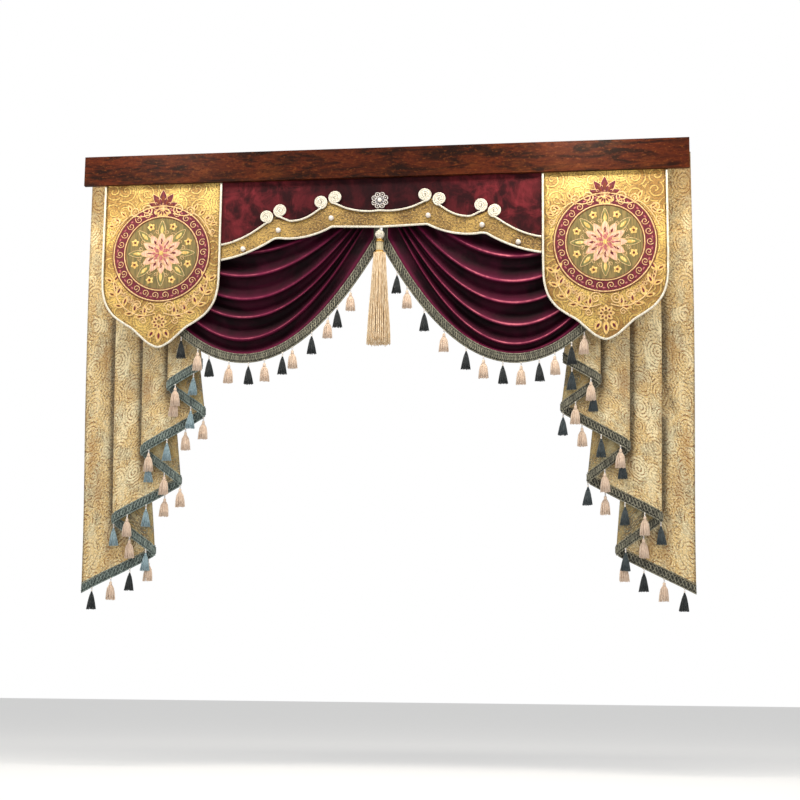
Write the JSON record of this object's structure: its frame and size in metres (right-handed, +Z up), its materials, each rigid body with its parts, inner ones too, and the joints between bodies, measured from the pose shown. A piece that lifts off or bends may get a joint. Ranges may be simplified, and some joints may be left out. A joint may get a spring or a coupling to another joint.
{
  "type": "window valance with pelmet board",
  "caption": "Draped window valance on a pelmet board: velvet swags, gold pennants and band, folded side cascades, fringed hems and a long centre tassel.",
  "frame": {"origin": "middle of the top board's back edge, where the board meets the wall", "axes": "+X to the right along the board, +Y into the wall, +Z up; the valance faces -Y"},
  "size_m": [2.4358, 0.2291, 1.814],
  "materials": {
    "board": "satin",
    "gold_jacquard": "woven",
    "beige_jacquard": "woven",
    "panel_velvet": "crushed pile",
    "swag_velvet": "pile",
    "braid": "woven",
    "white_cord": "twisted",
    "pearl": "pearl",
    "brooch": "polished",
    "cream_chenille": "pile"
  },
  "bodies": {
    "root": {"band_cord_lower": "white_cord", "cascade_fringe_left": "braid", "cascade_fringe_right": "braid", "cascade_left": "beige_jacquard", "cascade_right": "beige_jacquard", "centre_tassel": "cream_chenille", "fascia_board": "board", "flower_brooch": "brooch", "gold_band": "gold_jacquard", "pearl_left_1": "pearl", "pearl_left_2": "pearl", "pearl_left_3": "pearl", "pearl_right_1": "pearl", "pearl_right_2": "pearl", "pearl_right_3": "pearl", "pennant_cord_left": "white_cord", "pennant_cord_right": "white_cord", "pennant_left": "gold_jacquard", "pennant_right": "gold_jacquard", "scroll_cord_centre": "white_cord", "scroll_cord_middle_left": "white_cord", "scroll_cord_middle_right": "white_cord", "scroll_cord_outer_left": "white_cord", "scroll_cord_outer_right": "white_cord", "swag_fringe_left": "braid", "swag_fringe_right": "braid", "swag_left": "swag_velvet", "swag_right": "swag_velvet", "top_board": "board", "velvet_panel": "panel_velvet"}
  },
  "joints": []
}
